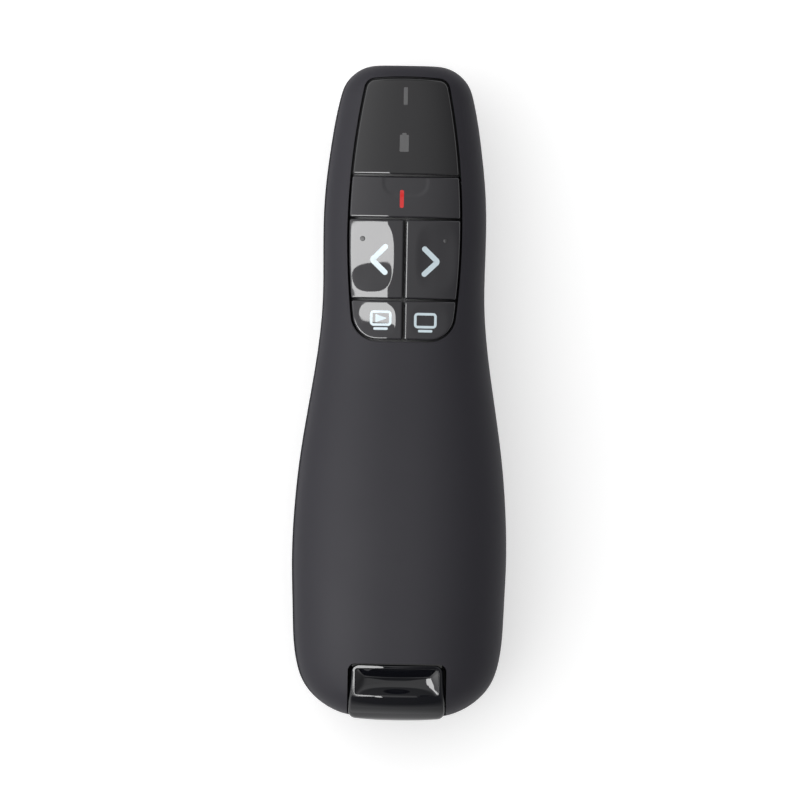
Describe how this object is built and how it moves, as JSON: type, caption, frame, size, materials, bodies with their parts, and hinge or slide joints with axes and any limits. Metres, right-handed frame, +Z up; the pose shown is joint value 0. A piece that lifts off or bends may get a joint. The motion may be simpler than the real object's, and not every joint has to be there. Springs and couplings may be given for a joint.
{
  "type": "wireless presentation clicker",
  "caption": "Handheld wireless presenter with a waisted soft-touch body, glossy keypad, laser pointer and a USB receiver stowed in its tail.",
  "frame": {"origin": "on the table under the middle of the object's box, lying keys up", "axes": "+Y towards the nose where the laser comes out, +X the right side seen from above, +Z up out of the keys"},
  "size_m": [0.0378, 0.1156, 0.0274],
  "materials": {
    "soft_touch_shell": "soft-touch lacquer over ABS, very fine grain",
    "gloss_black": "piano black, polished",
    "smoked_window": "smoked acrylic, polished",
    "inner_plastic": "moulded, unpainted",
    "circuit_board": "green solder mask",
    "chip_epoxy": "moulded epoxy",
    "capacitor_ceramic": "fired ceramic",
    "plated_steel": "nickel plated, brushed",
    "indicator_lamp": "phosphor under clear resin",
    "clear_acrylic": "clear moulded acrylic",
    "turned_brass": "turned",
    "lens_glass": "coated glass",
    "slider_plastic": "moulded, fine texture",
    "cell_jacket": "printed jacket",
    "white_insulator": "moulded nylon",
    "gold_plating": "gold flash",
    "switch_plastic": "moulded, with a steel plate",
    "screw_steel": "black zinc"
  },
  "bodies": {
    "housing": {"top_housing": "soft_touch_shell", "bottom_housing": "soft_touch_shell", "status_window": "smoked_window", "key_guide_frame": "inner_plastic", "receiver_sleeve": "inner_plastic", "main_board": "circuit_board", "laser_driver_board": "circuit_board", "radio_chip": "chip_epoxy", "boost_inductor": "chip_epoxy", "quartz_crystal": "plated_steel", "filter_capacitors": "capacitor_ceramic", "laser_led": "indicator_lamp", "battery_led": "indicator_lamp", "laser_light_guide": "clear_acrylic", "battery_light_guide": "clear_acrylic", "laser_barrel": "turned_brass", "laser_lens": "lens_glass", "laser_diode": "plated_steel", "aperture_ring": "gloss_black", "aperture_window": "lens_glass", "power_switch_body": "plated_steel", "cell_left": "cell_jacket", "cell_right": "cell_jacket", "contact_positive": "plated_steel", "contact_negative": "plated_steel", "contact_bridge": "plated_steel", "housing_screws": "screw_steel", "board_screws": "screw_steel", "tact_switch_body_laser": "switch_plastic", "tact_switch_body_previous": "switch_plastic", "tact_switch_body_next": "switch_plastic", "tact_switch_body_start_show": "switch_plastic", "tact_switch_body_blank_screen": "switch_plastic"},
    "battery_door": {"battery_door": "soft_touch_shell"},
    "receiver": {"receiver_case": "gloss_black", "receiver_lid": "gloss_black", "receiver_board": "circuit_board", "receiver_chip": "chip_epoxy", "usb_plug_shell": "plated_steel", "usb_tongue": "white_insulator", "usb_contacts": "gold_plating"},
    "power_slider": {"power_slider": "slider_plastic", "power_switch_lever": "slider_plastic"},
    "laser_key": {"laser_button": "gloss_black", "tact_switch_plunger_laser": "slider_plastic"},
    "previous_key": {"previous_button": "gloss_black", "tact_switch_plunger_previous": "slider_plastic"},
    "next_key": {"next_button": "gloss_black", "tact_switch_plunger_next": "slider_plastic"},
    "start_show_key": {"start_show_button": "gloss_black", "tact_switch_plunger_start_show": "slider_plastic"},
    "blank_screen_key": {"blank_screen_button": "gloss_black", "tact_switch_plunger_blank_screen": "slider_plastic"}
  },
  "joints": [
    {"name": "laser_press", "type": "slide", "parent": "housing", "child": "laser_key", "axis": [0, 0, -1], "range_m": [0, 0.0004], "stiffness_N_per_m": 1500},
    {"name": "previous_press", "type": "slide", "parent": "housing", "child": "previous_key", "axis": [0, 0, -1], "range_m": [0, 0.0004], "stiffness_N_per_m": 1500},
    {"name": "next_press", "type": "slide", "parent": "housing", "child": "next_key", "axis": [0, 0, -1], "range_m": [0, 0.0004], "stiffness_N_per_m": 1500},
    {"name": "start_show_press", "type": "slide", "parent": "housing", "child": "start_show_key", "axis": [0, 0, -1], "range_m": [0, 0.0004], "stiffness_N_per_m": 1500},
    {"name": "blank_screen_press", "type": "slide", "parent": "housing", "child": "blank_screen_key", "axis": [0, 0, -1], "range_m": [0, 0.0004], "stiffness_N_per_m": 1500},
    {"name": "power_slide", "type": "slide", "parent": "housing", "child": "power_slider", "axis": [0, 1, 0], "range_m": [0, 0.0025]},
    {"name": "door_slide", "type": "slide", "parent": "housing", "child": "battery_door", "axis": [0, -1, 0], "range_m": [0, 0.056]},
    {"name": "receiver_pull", "type": "slide", "parent": "housing", "child": "receiver", "axis": [0, -1, 0], "range_m": [0, 0.034]}
  ]
}
